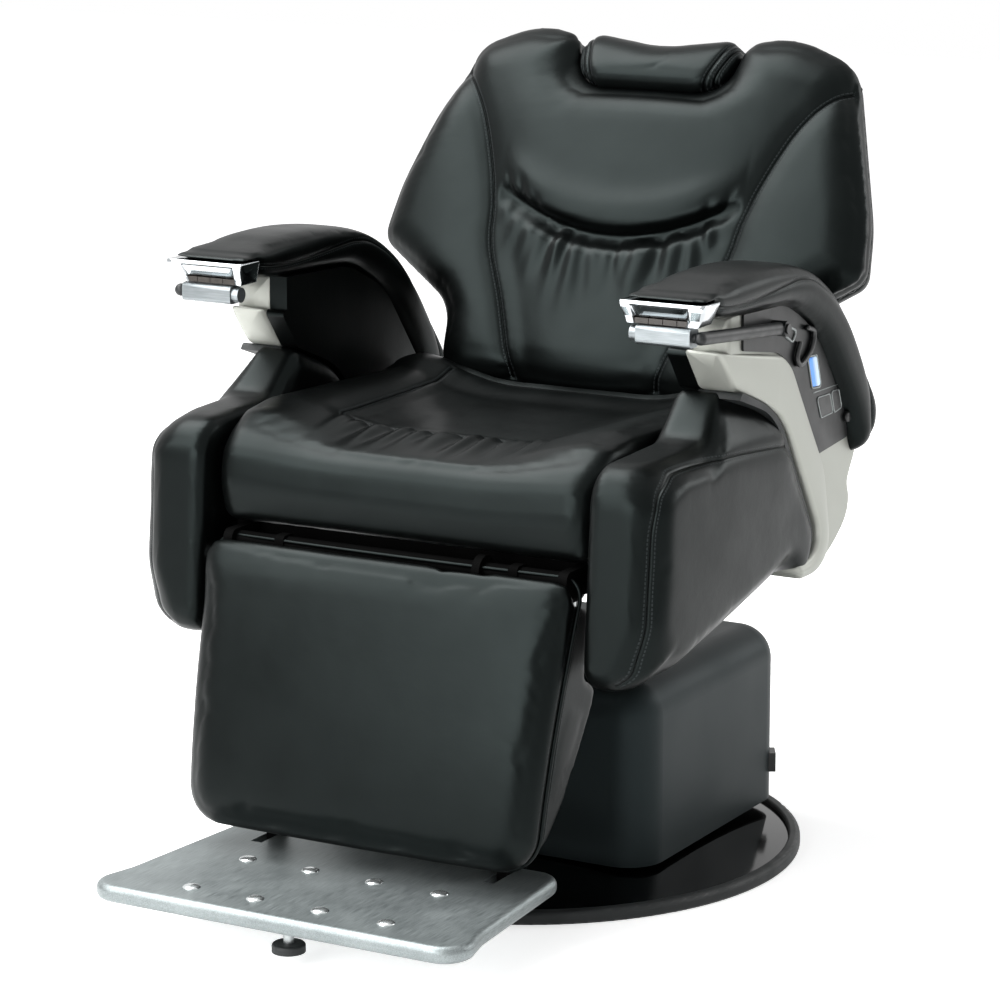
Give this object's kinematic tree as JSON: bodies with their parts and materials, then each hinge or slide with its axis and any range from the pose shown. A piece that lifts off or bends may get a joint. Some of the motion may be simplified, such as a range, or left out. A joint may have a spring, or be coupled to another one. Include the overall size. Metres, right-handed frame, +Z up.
{
  "type": "barber chair",
  "caption": "Swivelling, lifting barber chair with padded seat, arms, reclining back, headrest, coupled calf rest and metal footplate on a round base.",
  "frame": {"origin": "centre of the base disc's underside, on the floor", "axes": "+Z up, the chair faces -Y, +X is the sitter's left"},
  "size_m": [0.706, 0.997, 0.952],
  "materials": {
    "gloss_black_steel": "gloss",
    "black_rubber": "satin",
    "machined_steel": "satin",
    "black_paint": "satin",
    "motor_grey": "matte",
    "pump_alloy": "satin",
    "cover_grey": "satin",
    "black_plastic": "satin",
    "plywood": "matte",
    "black_leather": "semi-gloss",
    "black_panel": "satin",
    "silver_moulding": "satin",
    "dark_trim": "satin",
    "chrome": "mirror",
    "brushed_alloy": "brushed",
    "dark_rod": "satin",
    "console_grey": "satin",
    "display_glass": "gloss"
  },
  "bodies": {
    "base": {"base_plate": "gloss_black_steel", "base_dome": "gloss_black_steel", "base_rim_trim": "black_rubber", "swivel_bearing": "machined_steel", "swivel_spigot": "machined_steel"},
    "turret": {"turret_plate": "black_paint", "lift_cylinder": "machined_steel", "flange_bolts": "machined_steel", "pump_motor": "motor_grey", "pump_block": "pump_alloy", "oil_tank": "black_paint", "pump_cover": "cover_grey", "power_inlet": "black_plastic"},
    "seat_unit": {"arm_cap_left": "chrome", "arm_cap_right": "chrome", "arm_console": "console_grey", "arm_frame_left": "silver_moulding", "arm_frame_right": "silver_moulding", "arm_inner_panel_left": "black_panel", "arm_inner_panel_right": "black_panel", "arm_pad_left": "black_leather", "arm_pad_right": "black_leather", "console_sockets": "black_plastic", "console_window": "display_glass", "frame_trim_left": "dark_trim", "frame_trim_right": "dark_trim", "lever_pivots": "machined_steel", "lift_ram": "machined_steel", "recline_cylinder": "machined_steel", "seat_board": "plywood", "seat_cushion": "black_leather", "seat_frame": "black_paint", "side_panel_left": "black_leather", "side_panel_right": "black_leather"},
    "drive_rod": {"drive_rod": "machined_steel"},
    "backrest": {"back_cushion": "black_leather", "back_cover": "black_leather", "back_frame": "plywood", "back_brackets": "black_paint", "recline_shaft": "machined_steel", "headrest_guides": "machined_steel"},
    "headrest": {"headrest_cushion": "black_leather", "headrest_posts": "machined_steel"},
    "legrest": {"legrest_frame": "black_paint", "calf_pad": "black_leather"},
    "footrest": {"footplate": "brushed_alloy", "footplate_fixings": "machined_steel", "bump_stop": "black_rubber"},
    "lever_left": {"lever_rod_left": "dark_rod", "lever_bar_left": "brushed_alloy"},
    "lever_right": {"lever_rod_right": "dark_rod", "lever_bar_right": "brushed_alloy"},
    "switch_left_1": {"switch_left_1": "black_plastic"},
    "switch_left_2": {"switch_left_2": "black_plastic"},
    "switch_left_3": {"switch_left_3": "black_plastic"},
    "switch_left_4": {"switch_left_4": "black_plastic"},
    "switch_right_1": {"switch_right_1": "black_plastic"},
    "switch_right_2": {"switch_right_2": "black_plastic"},
    "switch_right_3": {"switch_right_3": "black_plastic"},
    "switch_right_4": {"switch_right_4": "black_plastic"}
  },
  "joints": [
    {"name": "swivel", "type": "hinge", "parent": "base", "child": "turret", "pos_m": [0, 0, 0.03], "axis": [0, 0, 1], "continuous": true},
    {"name": "lift", "type": "slide", "parent": "turret", "child": "seat_unit", "axis": [0, 0, 1], "range_m": [0, 0.18]},
    {"name": "recline", "type": "hinge", "parent": "seat_unit", "child": "backrest", "pos_m": [0, 0.185, 0.432], "axis": [-1, 0, 0], "range_deg": [0, 50]},
    {"name": "legrest_raise", "type": "hinge", "parent": "seat_unit", "child": "legrest", "pos_m": [0, -0.3, 0.412], "axis": [-1, 0, 0], "range_deg": [0, 65]},
    {"name": "drive_slide", "type": "slide", "parent": "seat_unit", "child": "drive_rod", "axis": [0, -1, 0], "range_m": [0, 0.0646]},
    {"name": "footplate_tilt", "type": "hinge", "parent": "legrest", "child": "footrest", "pos_m": [0, -0.322, 0.044], "axis": [-1, 0, 0], "range_deg": [0, 7]},
    {"name": "headrest_slide", "type": "slide", "parent": "backrest", "child": "headrest", "axis": [0, 0.4462, 0.8949], "range_m": [0, 0.11]},
    {"name": "lever_left_press", "type": "hinge", "parent": "seat_unit", "child": "lever_left", "pos_m": [0.3415, -0.018, 0.664], "axis": [-1, 0, 0], "range_deg": [-5, 0], "stiffness_Nm_per_rad": 6, "springref_deg": 11.46},
    {"name": "lever_right_press", "type": "hinge", "parent": "seat_unit", "child": "lever_right", "pos_m": [-0.3415, -0.018, 0.664], "axis": [-1, 0, 0], "range_deg": [-5, 0], "stiffness_Nm_per_rad": 6, "springref_deg": 11.46},
    {"name": "switch_left_1_press", "type": "slide", "parent": "seat_unit", "child": "switch_left_1", "axis": [0, 1, 0], "range_m": [0, 0.002], "stiffness_N_per_m": 800, "springref_m": -0.001},
    {"name": "switch_left_2_press", "type": "slide", "parent": "seat_unit", "child": "switch_left_2", "axis": [0, 1, 0], "range_m": [0, 0.002], "stiffness_N_per_m": 800, "springref_m": -0.001},
    {"name": "switch_left_3_press", "type": "slide", "parent": "seat_unit", "child": "switch_left_3", "axis": [0, 1, 0], "range_m": [0, 0.002], "stiffness_N_per_m": 800, "springref_m": -0.001},
    {"name": "switch_left_4_press", "type": "slide", "parent": "seat_unit", "child": "switch_left_4", "axis": [0, 1, 0], "range_m": [0, 0.002], "stiffness_N_per_m": 800, "springref_m": -0.001},
    {"name": "switch_right_1_press", "type": "slide", "parent": "seat_unit", "child": "switch_right_1", "axis": [0, 1, 0], "range_m": [0, 0.002], "stiffness_N_per_m": 800, "springref_m": -0.001},
    {"name": "switch_right_2_press", "type": "slide", "parent": "seat_unit", "child": "switch_right_2", "axis": [0, 1, 0], "range_m": [0, 0.002], "stiffness_N_per_m": 800, "springref_m": -0.001},
    {"name": "switch_right_3_press", "type": "slide", "parent": "seat_unit", "child": "switch_right_3", "axis": [0, 1, 0], "range_m": [0, 0.002], "stiffness_N_per_m": 800, "springref_m": -0.001},
    {"name": "switch_right_4_press", "type": "slide", "parent": "seat_unit", "child": "switch_right_4", "axis": [0, 1, 0], "range_m": [0, 0.002], "stiffness_N_per_m": 800, "springref_m": -0.001}
  ],
  "couplings": [
    {"joint": "legrest_raise", "follows": "recline", "ratio": 1.3},
    {"joint": "drive_slide", "follows": "recline", "m_per_rad": 0.073884}
  ]
}
